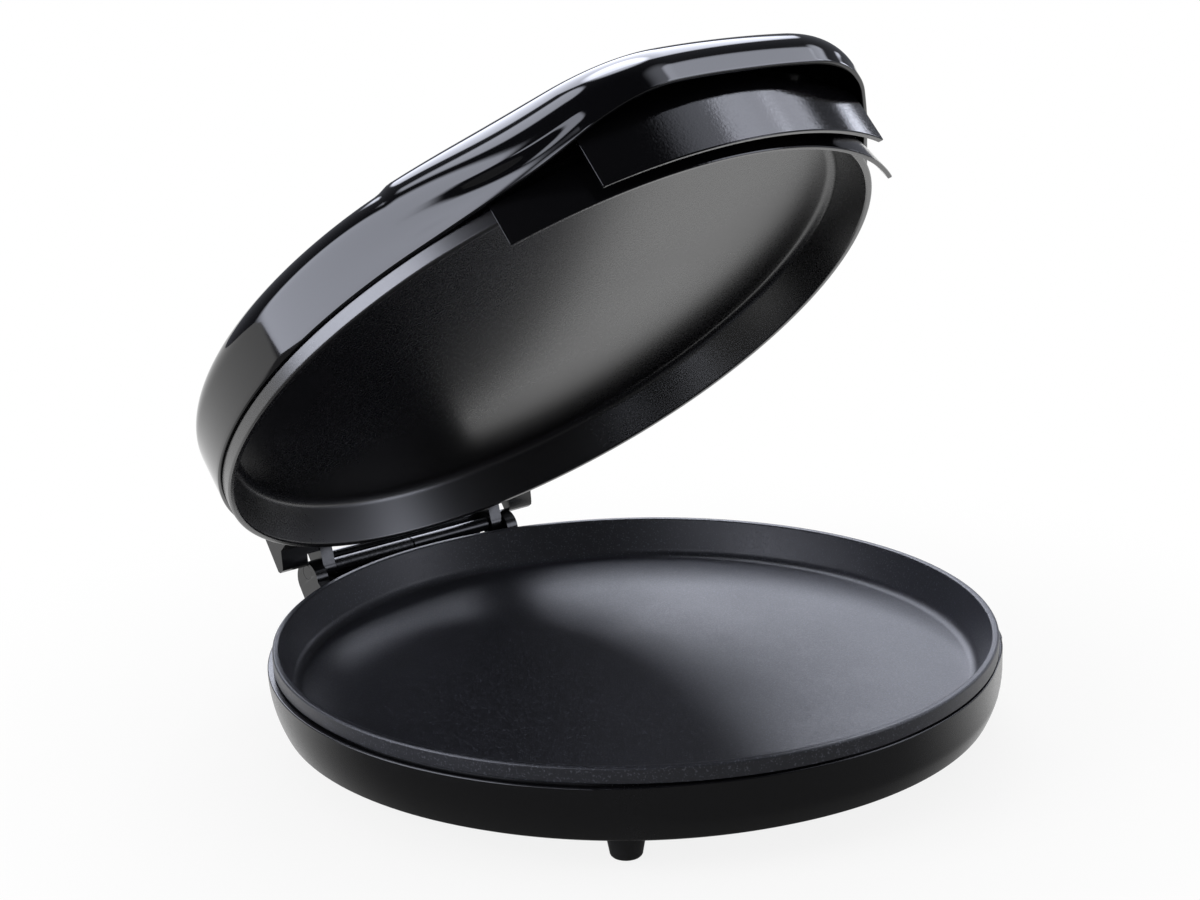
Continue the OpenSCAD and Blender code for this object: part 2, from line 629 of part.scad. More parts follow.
module handle_guard() {
    lower_r = rim_r + guard_out;
    color("#141416") opened() difference() {
        union() {
            front_arc([[lower_r - guard_t, -grip_drop - 0.4], [lower_r - 0.5, -grip_drop - 0.6],
                [lower_r, -grip_drop], [guard_top_r, lid_lip - seat], [guard_in_r, lid_lip - seat]],
                guard_half);
            front_arc([[guard_in_r + 0.4, lid_lip - 3], [guard_tab_r, lid_lip - 3],
                [guard_tab_r, guard_tab_top], [guard_in_r + 0.4, guard_tab_top]], guard_tab_half);
        }
        handle_screw_holes(guard_top_r - 5, 8);
    }
}

// Screws from inside the lid, through the frame and the guard into the grip
module handle_screws() {
    head_face = plate_r - 0.7;
    color("#b8b8bc") opened() for (a = handle_screw_angles) rotate([0, 0, a - 90])
        translate([head_face, 0, screw_z]) rotate([0, 90, 0]) {
            cylinder(h = grip_neck_r - 1 - head_face, r = boss_screw_r, $fn = 24);
            translate([0, 0, -1.6]) cylinder(h = 1.6, r = boss_screw_r * 1.7, $fn = 32);
        }
}

// ---------- lamps on the brow ----------

lamp_r = 4;
lamp_x = 10;
lamp_y = -(rim_r + 8);
module lamp(x) {
    tilt = atan(2 * (crown_h - shoulder_h) * -lamp_y / (lid_r * lid_r));
    opened() translate([x, lamp_y, dome(norm([x, lamp_y])) + ridge_h + seat / 2]) rotate([tilt, 0, 0])
        rotate_extrude($fn = 48) polygon(concat([[0, 0]], arc(lamp_r - 1.4, 0, 1.4, 0, 90, 4), [[0, 1.7]]));
}
module power_lamp() { color("#b3261e") lamp(-lamp_x); }
module ready_lamp() { color("#2f8f3a") lamp(lamp_x); }

base_housing();
lower_plate();
lower_heating_element();
lower_element_clips();
lower_reflector();
lower_plate_studs();
lower_plate_nuts();
lower_thermostat();
thermal_fuse();
terminal_block();
wiring_duct();
cord_gland();
foot_front_left();
foot_front_right();
foot_rear_left();
foot_rear_right();
foot_screws();
hinge_bracket_left();
hinge_bracket_right();
bracket_screws();
hinge_cover();
hinge_pin();
hinge_sleeve_left();
hinge_sleeve_right();
lid_shell();
lid_frame();
upper_plate();
upper_heating_element();
upper_element_clips();
upper_reflector();
upper_plate_studs();
upper_plate_nuts();
upper_thermostat();
handle_grip();
handle_guard();
handle_screws();
hinge_arm_left();
hinge_arm_right();
pin_plug_left();
pin_plug_right();
power_lamp();
ready_lamp();
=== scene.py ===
"""Looks for the electric pizza maker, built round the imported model. Lengths are in millimetres in
the closed frame of the source: z = 0 is the rim of the lower plate, and -Y is the front."""

import json
import math

import bpy
import bmesh
import numpy as np
from mathutils import Matrix, Vector


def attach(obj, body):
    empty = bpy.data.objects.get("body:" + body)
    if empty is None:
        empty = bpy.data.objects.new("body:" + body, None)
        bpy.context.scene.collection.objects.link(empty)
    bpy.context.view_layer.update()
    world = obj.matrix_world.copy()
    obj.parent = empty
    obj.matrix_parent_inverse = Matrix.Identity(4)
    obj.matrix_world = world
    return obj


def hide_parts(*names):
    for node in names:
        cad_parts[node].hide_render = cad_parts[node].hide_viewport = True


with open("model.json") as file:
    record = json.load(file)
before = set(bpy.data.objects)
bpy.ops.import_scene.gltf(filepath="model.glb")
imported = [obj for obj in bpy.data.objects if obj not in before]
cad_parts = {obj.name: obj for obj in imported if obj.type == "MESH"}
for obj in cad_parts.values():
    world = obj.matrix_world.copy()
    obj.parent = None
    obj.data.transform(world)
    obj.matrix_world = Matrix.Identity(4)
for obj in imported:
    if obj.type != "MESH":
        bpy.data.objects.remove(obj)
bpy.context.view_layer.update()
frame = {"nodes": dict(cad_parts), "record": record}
nodes = frame["nodes"]

# ---------- sizes ----------

MM = 0.001

# the hinge's axis, the lid's angle at rest, the middle of the footprint, and the rim's height over
# the table
HINGE_Y, HINGE_Z, LID_ANGLE = 163.4, -1.2, 42.9
CENTRE_Y, TABLE = 12.8748, 46.0

# baking plates
PLATE_R, PLATE_DEPTH, LID_DEPTH, SHEET = 152.0, 17.5, 20.0, 1.6
RIM_R, RIM_EDGE, BAND, BAND_EDGE, RIM_GAP = 155.0, 0.9, 6.4, 0.3, 0.6
LEAN, FLOOR_FILLET = 4.5, 5.0

# housing: ledge, wall, foot and floor
LEDGE_R, FRONT_R, HOUSING_TOP, HOUSING_DEPTH, HOUSING_T = 157.4, 155.3, -7.4, 32.6, 2.5
# degrees round from the front where the ledge grows and over how many, then its step likewise
LEDGE_GROWS, LEDGE_WHOLE, STEP_AT, STEP_SPAN, LEDGE_STEP = 32, 14, 46, 0.8, 0.5
STEP_R, FOOT_LINE_R, FOOT_EDGE, WALL_FOOT, WALL_TUCK, WALL_BEND = 153.6, 147.5, 1.4, -30.2, 6.5, 2.2
FLOOR_EDGE_R = 130
# vents through its floor, pads for the hinge brackets, pad for the cord gland
VENT_R, VENT_STEP, HALF_VENT = (62, 88), 30, 1.15
PAD_X, PAD_Y, PAD_Z = (46.4, 59.6), (144.6, 151.005), (-25.4, -7.8)
GLAND_PAD_R, GLAND_PAD_Y, GLAND_Z = 8.8, (152, 158), -21

# lid shell: dome, shoulder and wall
LID_R, SHELL_T, CROWN, SHOULDER_H, SHOULDER_R, WALL_IN = 156.5, 2.2, 52.0, 38.4, 10.0, 0.2
# its lip with the arch over the handle, and the raised panel on top, whose places are shares of
# the radius
LIP, LIP_ROUND, ARCH_H, ARCH_HALF, ARCH_CROWN = 7.6, 0.5, 7.8, 34.0, 2.5
RIDGE, RIDGE_EDGE, RIDGE_HALF, RIDGE_END, RIDGE_FADE = 1.6, 7, 0.765, 0.58, (1.4, 1.1)
# its brow: corners of the plan, then the rounder shoulder, the hollow in the wall and the bulge,
# each as size, place and width in degrees
BROW_REACH, BROW_DROP, CORNER_X, CORNER_R = 22.2, 1.8, 36.0, 49.5
CORNER_Y = RIM_R + BROW_REACH - CORNER_R
CORNER_ROUND, CORNER_AT, CORNER_SPAN = 9.0, 33.5, 13.0
HOLLOW, HOLLOW_AT, HOLLOW_SPAN = 1.2, 44, 14
BULGE, BULGE_AT, BULGE_SPAN = 2.8, 35.0, 11
# how far beyond the dome's radius the brow has dropped by BROW_DROP, and how late the drop sets in
DROOP_OVER, DROOP_POWER = 25, 6

# handle panels; a sweep is its first angle and its whole angle in degrees
DROP, GRIP_SWEEP, GUARD_SWEEP = 11.4, (-26, 51.6), (-39.5, 79)
GRIP_R, GRIP_T, NECK_R, NECK_Z, GRIP_TOP = RIM_R + 15.6, 2.4, RIM_R + 15.4, LIP + 4, LIP + 18
NECK_BEND, GRIP_SEAT_R, GRIP_SEAT_Z = 10, RIM_R + 7, LIP + 8
GUARD_TOP, GUARD_T, GUARD_LOW = RIM_R + 2.6, 2.0, RIM_R + 6
PANEL_EDGE = 0.45

BASE = Matrix.Scale(MM, 4) @ Matrix.Translation((0, -CENTRE_Y, TABLE))
LID = (BASE @ Matrix.Translation((0, HINGE_Y, HINGE_Z))
       @ Matrix.Rotation(math.radians(-LID_ANGLE), 4, "X")
       @ Matrix.Translation((0, -HINGE_Y, -HINGE_Z)))

# ---------- camera ----------

# angles in degrees, then its place along its own axes in millimetres
CAMERA_TURN, CAMERA_RISE, CAMERA_ROLL = -39.65, 15.19, -1.79
CAMERA_BACK, CAMERA_SIDE, CAMERA_UP = 999.5, -21.156, 81.903
# the frame, the focal length and the optical centre in pixels, and the sensor's width in mm
FRAME_W, FRAME_H, FOCAL, OPTICAL_X, OPTICAL_Y, SENSOR = 1200, 900, 2319.26, 579.02, 435.30, 36


def add_camera():
    az, el, roll = (math.radians(a) for a in (CAMERA_TURN, CAMERA_RISE, CAMERA_ROLL))
    back = Vector((math.cos(el) * math.sin(az), -math.cos(el) * math.cos(az), math.sin(el)))
    side = Vector((math.cos(az), math.sin(az), 0))
    up = back.cross(side)
    spot = BASE @ (back * CAMERA_BACK + side * CAMERA_SIDE + up * CAMERA_UP)
    right = side * math.cos(roll) + up * math.sin(roll)
    top = up * math.cos(roll) - side * math.sin(roll)
    camera = bpy.data.objects.new("camera", bpy.data.cameras.new("camera"))
    bpy.context.scene.collection.objects.link(camera)
    camera.matrix_world = Matrix((right, top, back)).transposed().to_4x4()
    camera.matrix_world.translation = spot
    camera.data.sensor_width = SENSOR
    camera.data.lens = SENSOR * FOCAL / FRAME_W
    camera.data.shift_x = 0.5 - OPTICAL_X / FRAME_W
    camera.data.shift_y = (OPTICAL_Y - FRAME_H / 2) / FRAME_W
    camera.data.clip_start = 0.05
    bpy.context.scene.camera = camera


add_camera()

# ---------- mesh helpers ----------

SAME_POINT = 1e-6  # metres
# angles in degrees from which two faces meet in a visible edge, and below which they become one
SHARP, CAD_SHARP, SHELL_SHARP, HOUSING_SHARP = 38, 28, 50, 35
FLAT = 0.8


def smooth(mesh, sharp):
    mesh.shade_smooth()
    mesh.set_sharp_from_angle(angle=math.radians(sharp))


def place(name, mesh, body, slot, stands_for):
    """Puts a mesh in the scene, riding on a body in place of CAD nodes."""
    piece = bpy.data.objects.new(name, mesh)
    bpy.context.scene.collection.objects.link(piece)
    mesh.materials.clear()
    mesh.materials.append(FINISH[slot])
    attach(piece, body)
    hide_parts(*stands_for)
    return piece


def build(name, points, faces, matrix, body, slot, *stands_for, sharp=SHARP):
    """One smooth-shaded piece from points in millimetres."""
    mesh = bpy.data.meshes.new(name)
    mesh.from_pydata([matrix @ Vector(p) for p in points], [], faces)
    mesh.validate()
    clean = bmesh.new()
    clean.from_mesh(mesh)
    bmesh.ops.remove_doubles(clean, verts=clean.verts, dist=SAME_POINT)
    bmesh.ops.recalc_face_normals(clean, faces=clean.faces)
    clean.to_mesh(mesh)
    clean.free()
    smooth(mesh, sharp)
    return place(name, mesh, body, slot, stands_for)


def bevel(piece, width, segments=3, angle=40):
    edges = piece.modifiers.new("edges", "BEVEL")
    edges.width = width * MM
    edges.segments = segments
    edges.limit_method = "ANGLE"
    edges.angle_limit = math.radians(angle)
    edges.harden_normals = True


def softened(node, body, width, sink=0.0):
    """A copy of a small CAD solid with its flat faces joined up and its edges rounded as moulding
    leaves them, let down by sink onto the dressed surface below it."""
    mesh = nodes[node].data.copy()
    mesh.transform(LID @ Matrix.Translation((0, 0, -sink)) @ LID.inverted())
    mesh.name = node + "_moulded"
    flat = bmesh.new()
    flat.from_mesh(mesh)
    bmesh.ops.remove_doubles(flat, verts=flat.verts, dist=SAME_POINT)
    bmesh.ops.dissolve_limit(flat, angle_limit=math.radians(FLAT), verts=flat.verts,
                             edges=flat.edges)
    flat.to_mesh(mesh)
    flat.free()
    smooth(mesh, SHARP)
    piece = place(mesh.name, mesh, body, SLOT_OF[node], [node])
    bevel(piece, width)
    return piece


NEARLY_STRAIGHT, FREE = 1.5, 0.45  # half the angle at a corner, in radians, and the share of a side


def rounded(points, radii, closed=True, steps=4, hold=0.35):
    """The outline with its corners rounded, and a point just past each round to hold the shading.
    A round takes at most FREE of the sides it joins."""
    n = len(points)
    out = []
    for i, p in enumerate(points):
        r = radii[i]
        if r <= 0 or (not closed and i in (0, n - 1)):
            out.append(p)
            continue
        corner = Vector(p)
        u, v = Vector(points[i - 1]) - corner, Vector(points[(i + 1) % n]) - corner
        lu, lv = u.length, v.length
        u.normalize()
        v.normalize()
        half = u.angle(v) / 2
        if half > NEARLY_STRAIGHT:
            out.append(p)
            continue
        cut = min(r / math.tan(half), lu * FREE, lv * FREE)
        centre = corner + (u + v).normalized() * (cut * math.tan(half) / math.sin(half))
        start, end = corner + u * cut, corner + v * cut
        if lu > cut + 3 * hold:
            out.append(tuple(start + u * hold))
        turn = (start - centre).angle_signed(end - centre)
        for k in range(steps + 1):
            spoke = start - centre
            t = -turn * k / steps
            out.append((centre.x + spoke.x * math.cos(t) - spoke.y * math.sin(t),
                        centre.y + spoke.x * math.sin(t) + spoke.y * math.cos(t)))
        if lv > cut + 3 * hold:
            out.append(tuple(end + v * hold))
    return out


def turned(name, section, matrix, body, slot, *stands_for, start=0.0, sweep=360.0, step=1.5):
    """Turns a closed section of (radius, height) about Z. Angles in degrees run from the front
    towards +X."""
    whole = sweep >= 360
    n = max(8, round(sweep / step))
    rows = n if whole else n + 1
    points, faces, m = [], [], len(section)
    for i in range(rows):
        a = math.radians(start + sweep * i / n)
        points += [(r * math.sin(a), -r * math.cos(a), z) for r, z in section]
    on_axis = [r < SAME_POINT for r, z in section]
    for i in range(n):
        j = (i + 1) % rows
        for k in range(m):
            k2 = (k + 1) % m
            if on_axis[k] and on_axis[k2]:
                continue
            here, next_up, across_up, across = i * m + k, i * m + k2, j * m + k2, j * m + k
            if on_axis[k]:
                faces.append([here, next_up, across_up])
            elif on_axis[k2]:
                faces.append([here, next_up, across])
            else:
                faces.append([here, next_up, across_up, across])
    if not whole:
        faces += [list(range(m))[::-1], [(rows - 1) * m + k for k in range(m)]]
    return build(name, points, faces, matrix, body, slot, *stands_for)


def arc(cx, cy, r, a0, a1, steps):
    turns = [math.radians(a0 + (a1 - a0) * i / steps) for i in range(steps + 1)]
    return [(cx + r * math.cos(a), cy + r * math.sin(a)) for a in turns]


def ease(t):
    """0 to 1 with a soft start and end."""
    t = min(max(t, 0.0), 1.0)
    return t * t * (3 - 2 * t)


# ---------- finishes ----------


def linear(code):
    """sRGB hex to linear."""
    values = [int(code[i:i + 2], 16) / 255 for i in (1, 3, 5)]
    return (*(v / 12.92 if v <= 0.04045 else ((v + 0.055) / 1.055) ** 2.4 for v in values), 1.0)


def add_node(tree, kind, inputs=None, **settings):
    """Adds a node with its settings, and sets or links its inputs."""
    node = tree.nodes.new(kind)
    for key, value in settings.items():
        setattr(node, key, value)
    for key, value in (inputs or {}).items():
        if isinstance(value, bpy.types.NodeSocket):
            tree.links.new(value, node.inputs[key])
        else:
            node.inputs[key].default_value = value
    return node


NOISE_LOW, NOISE_HIGH = 0.3, 0.7  # a noise texture's values lie mostly between these
GLOSS_DRIFT = 0.12  # share of the roughness
FLECK_EDGE = 0.1  # noise levels over which a fleck fades in


def finish(name, dark, light, roughness, drift=120, grain=(), relief=(), flecks=(), metallic=0.0,
           ior=1.5):
    """A surface whose colour and gloss drift slowly from spot to spot. drift is the width of a spot
    in mm; grain is (width in mm, change of roughness), relief (width in mm, height in mm), and
    flecks (colour, width in mm, noise level above which one shows)."""
    material = bpy.data.materials.new(name)
    material.use_nodes = True
    tree = material.node_tree
    shader = tree.nodes["Principled BSDF"]
    where = add_node(tree, "ShaderNodeTexCoord").outputs["Object"]
    slow = add_node(tree, "ShaderNodeTexNoise", {
        "Vector": where, "Scale": 1 / (drift * MM), "Detail": 4.0}).outputs["Fac"]
    share = add_node(tree, "ShaderNodeMapRange", {
        "Value": slow, "From Min": NOISE_LOW, "From Max": NOISE_HIGH}).outputs["Result"]
    # a Mix node's two colours are its inputs 6 and 7, and its colour result is output 2
    colour = add_node(tree, "ShaderNodeMix", {0: share, 6: linear(dark), 7: linear(light)},
                      data_type="RGBA").outputs[2]
    gloss = add_node(tree, "ShaderNodeMapRange", {
        "Value": slow, "From Min": NOISE_LOW, "From Max": NOISE_HIGH,
        "To Min": roughness * (1 - GLOSS_DRIFT),
        "To Max": roughness * (1 + GLOSS_DRIFT)}).outputs["Result"]
    if flecks:
        fleck_colour, width, level = flecks
        spots = add_node(tree, "ShaderNodeTexNoise", {
            "Vector": where, "Scale": 1 / (width * MM), "Detail": 1.0}).outputs["Fac"]
        spot = add_node(tree, "ShaderNodeMapRange", {
            "Value": spots, "From Min": level, "From Max": level + FLECK_EDGE}).outputs["Result"]
        colour = add_node(tree, "ShaderNodeMix", {0: spot, 6: colour, 7: linear(fleck_colour)},
                          data_type="RGBA").outputs[2]
    if grain:
        width, swing = grain
        fine = add_node(tree, "ShaderNodeTexNoise", {
            "Vector": where, "Scale": 1 / (width * MM), "Detail": 1.0}).outputs["Fac"]
        change = add_node(tree, "ShaderNodeMapRange", {
            "Value": fine, "From Min": NOISE_LOW, "From Max": NOISE_HIGH,
            "To Min": -swing, "To Max": swing}).outputs["Result"]
        gloss = add_node(tree, "ShaderNodeMath", {0: gloss, 1: change}, operation="ADD",
                         use_clamp=True).outputs[0]
    if relief:
        width, height = relief
        rough = add_node(tree, "ShaderNodeTexNoise", {
            "Vector": where, "Scale": 1 / (width * MM), "Detail": 2.0}).outputs["Fac"]
        bump = add_node(tree, "ShaderNodeBump", {
            "Strength": 1.0, "Distance": height * MM, "Height": rough}).outputs["Normal"]
        tree.links.new(bump, shader.inputs["Normal"])
    tree.links.new(colour, shader.inputs["Base Color"])
    tree.links.new(gloss, shader.inputs["Roughness"])
    shader.inputs["Metallic"].default_value = metallic
    shader.inputs["IOR"].default_value = ior
    return material


FINISH = {
    # polished-tool ABS: deep black that mirrors the lights, with a large moulding's faint waviness
    "lid_gloss": finish("polished black ABS", "#060608", "#0a0a0d", 0.055, drift=200,
                        relief=(9, 0.004), ior=1.54),
    # ABS from a fine-etched tool: still glossy, but the grain breaks a highlight up into stipple
    "handle_gloss": finish("fine-grained black ABS", "#060608", "#0a0a0c", 0.115, drift=160,
                           grain=(0.9, 0.05), relief=(1.2, 0.035), ior=1.54),
    # filled polypropylene, spark-eroded tool: black in front, a soft pale sheen where it turns away
    "housing_plastic": finish("satin black polypropylene", "#08080a", "#0c0c0f", 0.24, drift=150,
                              grain=(1.1, 0.03), relief=(0.9, 0.003), ior=1.49),
    # glass-filled nylon from a plain tool: semi-gloss, slightly uneven
    "hinge_plastic": finish("semi-gloss black nylon", "#08080a", "#0d0d0f", 0.2, drift=80,
                            grain=(0.8, 0.04), relief=(0.8, 0.005), ior=1.53),
    # sprayed PTFE coat on pressed steel: dark slate with paler specks, a little larger than life
    "nonstick_coating": finish("speckled sprayed PTFE", "#1e1f24", "#26272d", 0.42, drift=110,
                               grain=(0.8, 0.07), relief=(0.9, 0.012),
                               flecks=("#45474f", 0.8, 0.6)),
    # the same coat without specks, rolled on: smooth satin that spreads a pale glow over the pan.
    # Its index is raised above a real coat's until that glow is strong enough.
    "lid_plate_coating": finish("smooth rolled PTFE", "#0d0c0e", "#121113", 0.28, drift=160,
                                grain=(0.9, 0.02), relief=(1.2, 0.001), ior=1.9),
    # textured stoving paint on a steel tube: sparkles finely along the highlight
    "sleeve_textured": finish("textured black paint", "#0c0c0e", "#131316", 0.36, drift=50,
                              grain=(0.8, 0.1), relief=(0.8, 0.025)),
    # smooth stoving paint on a steel tube: one soft highlight from end to end
    "sleeve_smooth": finish("smooth black paint", "#0a0a0c", "#0f0f12", 0.24, drift=50,
                            grain=(1.0, 0.03)),
    # drawn mild steel: grey metal with fine changes of gloss
    "pin_steel": finish("drawn steel", "#77797e", "#8f9196", 0.3, drift=25,
                        grain=(0.6, 0.06), metallic=1.0),
    # bright zinc plate: cool pale metal
    "zinc_steel": finish("zinc-plated steel", "#9a9ca1", "#c2c4c8", 0.34, drift=16,
                         grain=(0.6, 0.06), metallic=1.0),
    # nickel-alloy tube after heating: dull brownish grey
    "element_sheath": finish("heat-darkened sheath", "#3c3a3c", "#5f5d60", 0.5, drift=35,
                             grain=(0.7, 0.1), metallic=0.9),
    # hot-dipped aluminised sheet: soft mirror
    "reflector_aluminium": finish("aluminised sheet", "#b3b4b8", "#cfd0d3", 0.28, drift=70,
                                  grain=(1.0, 0.05), metallic=1.0),
    # pressed steatite: chalky cream
    "ceramic_body": finish("unglazed steatite", "#cfc6b3", "#e0d8c8", 0.7, drift=20,
                           grain=(0.6, 0.05), relief=(0.6, 0.02)),
    # extruded silicone: brick red, waxy
    "duct_silicone": finish("red silicone", "#6f241f", "#8a2f28", 0.55, drift=25,
                            grain=(0.7, 0.05), ior=1.43),
    # moulded EPDM: matt charcoal
    "gland_rubber": finish("matt black rubber", "#121214", "#1b1b1d", 0.6, drift=25,
                           grain=(0.7, 0.08), relief=(0.6, 0.02)),
    # moulded nitrile: matt black that picks up a little sheen on its round
    "foot_rubber": finish("satin black rubber", "#0c0c0e", "#131315", 0.42, drift=25,
                          grain=(0.8, 0.08), relief=(0.8, 0.015)),
    # tinted polycarbonate: a small clear-surfaced lens, dark when unlit
    "lamp_red": finish("red polycarbonate", "#7a1410", "#93221b", 0.12, drift=16, ior=1.58),
    "lamp_green": finish("green polycarbonate", "#15532a", "#1f6b36", 0.12, drift=16, ior=1.58),
}
SLOT_OF = {row["node"]: row["material_slot"] for row in frame["record"]["subparts"]}
for node_name, slot_name in SLOT_OF.items():
    shown = nodes[node_name].data
    shown.materials.clear()
    shown.materials.append(FINISH[slot_name])
    smooth(shown, CAD_SHARP)

# ---------- baking plates ----------


def plate_section(depth):
    """A plate's section as radius and depth: floor, wall, rim, and the band turned over outside."""
    f, t, ring = FLOOR_FILLET, SHEET, 70
    fillet_r, lean_angle, steps, hold = PLATE_R - LEAN - f, 10, 10, 6
    inner = arc(fillet_r, depth - f, f, 90, lean_angle, steps)
    outer = arc(fillet_r, depth - f, f + t, lean_angle, 90, steps)
    rim = rounded([inner[-1], (PLATE_R, 0), (RIM_R, 0), (RIM_R, BAND), (RIM_R - t, BAND),
                   (RIM_R - t, t), (PLATE_R + 0.6, t), outer[0]],
                  [0, RIM_EDGE, RIM_EDGE, BAND_EDGE, BAND_EDGE, 0, 0, 0], closed=False)
    return ([(0, depth), (ring, depth), (fillet_r - hold, depth)] + inner[:-1] + rim + outer[1:]
            + [(ring, depth + t), (0, depth + t)])


turned("lower_plate_dressed", [(r, -z) for r, z in plate_section(PLATE_DEPTH)], BASE, "base",
       "nonstick_coating", "lower_plate")
turned("upper_plate_dressed", [(r, z + RIM_GAP) for r, z in plate_section(LID_DEPTH)], LID, "lid",
       "lid_plate_coating", "upper_plate")

# ---------- housing ----------


def wall_r(z):
    """The wall stands nearly upright below the ledge and tucks in towards the foot."""
    top = HOUSING_TOP + 0.4
    return LEDGE_R - WALL_TUCK * max((top - z) / (top + HOUSING_DEPTH), 0) ** WALL_BEND


def lip_r(angle):
    """The ledge narrows towards the front, and drops the last half millimetre in one small step."""
    a = abs((angle + 180) % 360 - 180)
    return (FRONT_R + (LEDGE_R - FRONT_R - LEDGE_STEP) * ease((a - LEDGE_GROWS) / LEDGE_WHOLE)
            + LEDGE_STEP * ease((a - STEP_AT) / STEP_SPAN))


def housing_section(angle):
    """The bowl's section: floor, rounded foot, wall, ledge, the step that carries the plate, and
    the inside. The second and third points from each end lie at the ends of the vents."""
    lip = lip_r(angle)
    under, floor, seat = -HOUSING_DEPTH, -HOUSING_DEPTH + HOUSING_T, -BAND - 0.1
    vent_in, vent_out = VENT_R
    rows = 14
    heights = [WALL_FOOT + (HOUSING_TOP - WALL_FOOT) * k / rows for k in range(rows + 1)]
    wall = [(min(wall_r(z), lip), z) for z in heights]
    inside = [(min(wall_r(z), FRONT_R) - HOUSING_T, z) for z in heights[::-1]]
    foot = rounded([(FLOOR_EDGE_R, under), (FOOT_LINE_R, under), wall[0], wall[1]],
                   [0, FOOT_EDGE, FOOT_EDGE, 0], closed=False)[1:-1]
    top = rounded([wall[-2], (lip, HOUSING_TOP), (STEP_R, HOUSING_TOP + 0.1), (STEP_R, seat)],
                  [0, 0.5, 0, 0], closed=False, steps=3, hold=0.2)[1:]
    return ([(0, under), (vent_in, under), (vent_out, under), (FLOOR_EDGE_R, under)]
            + foot + wall[1:-1] + top + [(FRONT_R - HOUSING_T, seat)] + inside
            + [(FOOT_LINE_R - HOUSING_T, floor), (vent_out, floor), (vent_in, floor), (0, floor)])


def in_vent(angle):
    return abs(angle - VENT_STEP * round(angle / VENT_STEP)) < HALF_VENT


def make_housing():
    """The bowl with vents through its floor and its pads for the hinge brackets and the gland."""
    vent_sides = [a + side * HALF_VENT for a in range(-180, 180, VENT_STEP) for side in (-1, 1)]
    # closer together over the front, where the ledge changes
    steps = sorted({round(float(a), 3) for a in
                    [*vent_sides, *np.arange(-48, 48, 0.4), *np.arange(-180, 180, 2)]})
    points, faces = [], []
    for angle in steps:
        outline = housing_section(angle)[1:-1]
        a = math.radians(angle)
        points += [(r * math.sin(a), -r * math.cos(a), z) for r, z in outline]
    n = len(steps)
    m = len(points) // n
    points += [(0, 0, -HOUSING_DEPTH), (0, 0, -HOUSING_DEPTH + HOUSING_T)]
    gaps = list(zip(steps, steps[1:] + [steps[0] + 360]))
    vents = [in_vent((left + right) / 2) for left, right in gaps]
    for i in range(n):
        j = (i + 1) % n
        a, b, vent = i * m, j * m, vents[i]
        faces += [[a + k, a + k + 1, b + k + 1, b + k] for k in range(m - 1)
                  if not (vent and k in (0, m - 2))]
        faces += [[n * m, a, b], [n * m + 1, b + m - 1, a + m - 1]]
        if vent and not vents[i - 1]:
            faces.append([a, a + 1, a + m - 2, a + m - 1])
        if vent and not vents[j]:
            faces.append([b, b + 1, b + m - 2, b + m - 1])
        if vent:
            faces += [[a, b, b + m - 1, a + m - 1], [a + 1, b + 1, b + m - 2, a + m - 2]]
    for side in (-1, 1):
        first = len(points)
        points += [(side * x, y, z) for x in PAD_X for y in PAD_Y for z in PAD_Z]
        faces += [[first + k for k in quad] for quad in (
            (0, 1, 3, 2), (4, 6, 7, 5), (0, 4, 5, 1), (2, 3, 7, 6), (0, 2, 6, 4), (1, 5, 7, 3))]
    first, turns = len(points), 32
    circle = [(math.cos(a), math.sin(a)) for a in (2 * math.pi * k / turns for k in range(turns))]
    for y in GLAND_PAD_Y:
        points += [(GLAND_PAD_R * c, y, GLAND_Z + GLAND_PAD_R * s) for c, s in circle]
    for k in range(turns):
        k2 = (k + 1) % turns
        faces.append([first + k, first + k2, first + turns + k2, first + turns + k])
    faces += [[first + k for k in range(turns)], [first + turns + k for k in range(turns)]]
    build("base_housing_dressed", points, faces, BASE, "base", "housing_plastic", "base_housing",
          sharp=HOUSING_SHARP)


make_housing()

# ---------- lid shell ----------

reach = math.hypot(CORNER_X, CORNER_Y)
FLANK = math.atan2(CORNER_X, CORNER_Y) + math.acos((LID_R - CORNER_R) / reach)
CORNER_END = math.atan2(CORNER_X + CORNER_R * math.sin(FLANK),
                        CORNER_Y + CORNER_R * math.cos(FLANK))
CORNER_START = math.atan2(CORNER_X, CORNER_Y + CORNER_R)


def from_front(phi):
    return abs((phi + math.pi) % (2 * math.pi) - math.pi)


def hump(phi, middle, width):
    return math.exp(-((math.degrees(from_front(phi)) - middle) / width) ** 2)


def plan_r(phi):
    """Plan of the shell's lip: a circle whose flanks run straight on to a round-cornered brow."""
    a = from_front(phi)
    if a >= FLANK:
        return LID_R
    if a > CORNER_END:
        return LID_R / math.cos(FLANK - a)
    if a < CORNER_START:
        return (CORNER_Y + CORNER_R) / math.cos(a)
    along = CORNER_X * math.sin(a) + CORNER_Y * math.cos(a)
    off = CORNER_X * math.cos(a) - CORNER_Y * math.sin(a)
    return along + math.sqrt(max(CORNER_R ** 2 - off ** 2, 0))


def dome(r):
    return CROWN - (CROWN - SHOULDER_H) * (r / LID_R) ** 2


def ridge(x, y):
    """Height of the raised panel: full on the brow, narrowing and fading out towards the back."""
    back = y / LID_R + RIDGE_END
    narrowing = 0.5 if back < 0 else 0.3
    half = LID_R * (RIDGE_HALF - narrowing * back)
    return RIDGE * ease((half - abs(x)) / RIDGE_EDGE) * ease(RIDGE_FADE[0] - back * RIDGE_FADE[1])


def lip_z(phi):
    """Height of the lip: level, with the arch over the handle."""
    a = math.degrees(from_front(phi)) / ARCH_HALF
    return LIP + (ARCH_H * (1 - a ** ARCH_CROWN) ** 2 if a < 1 else 0)


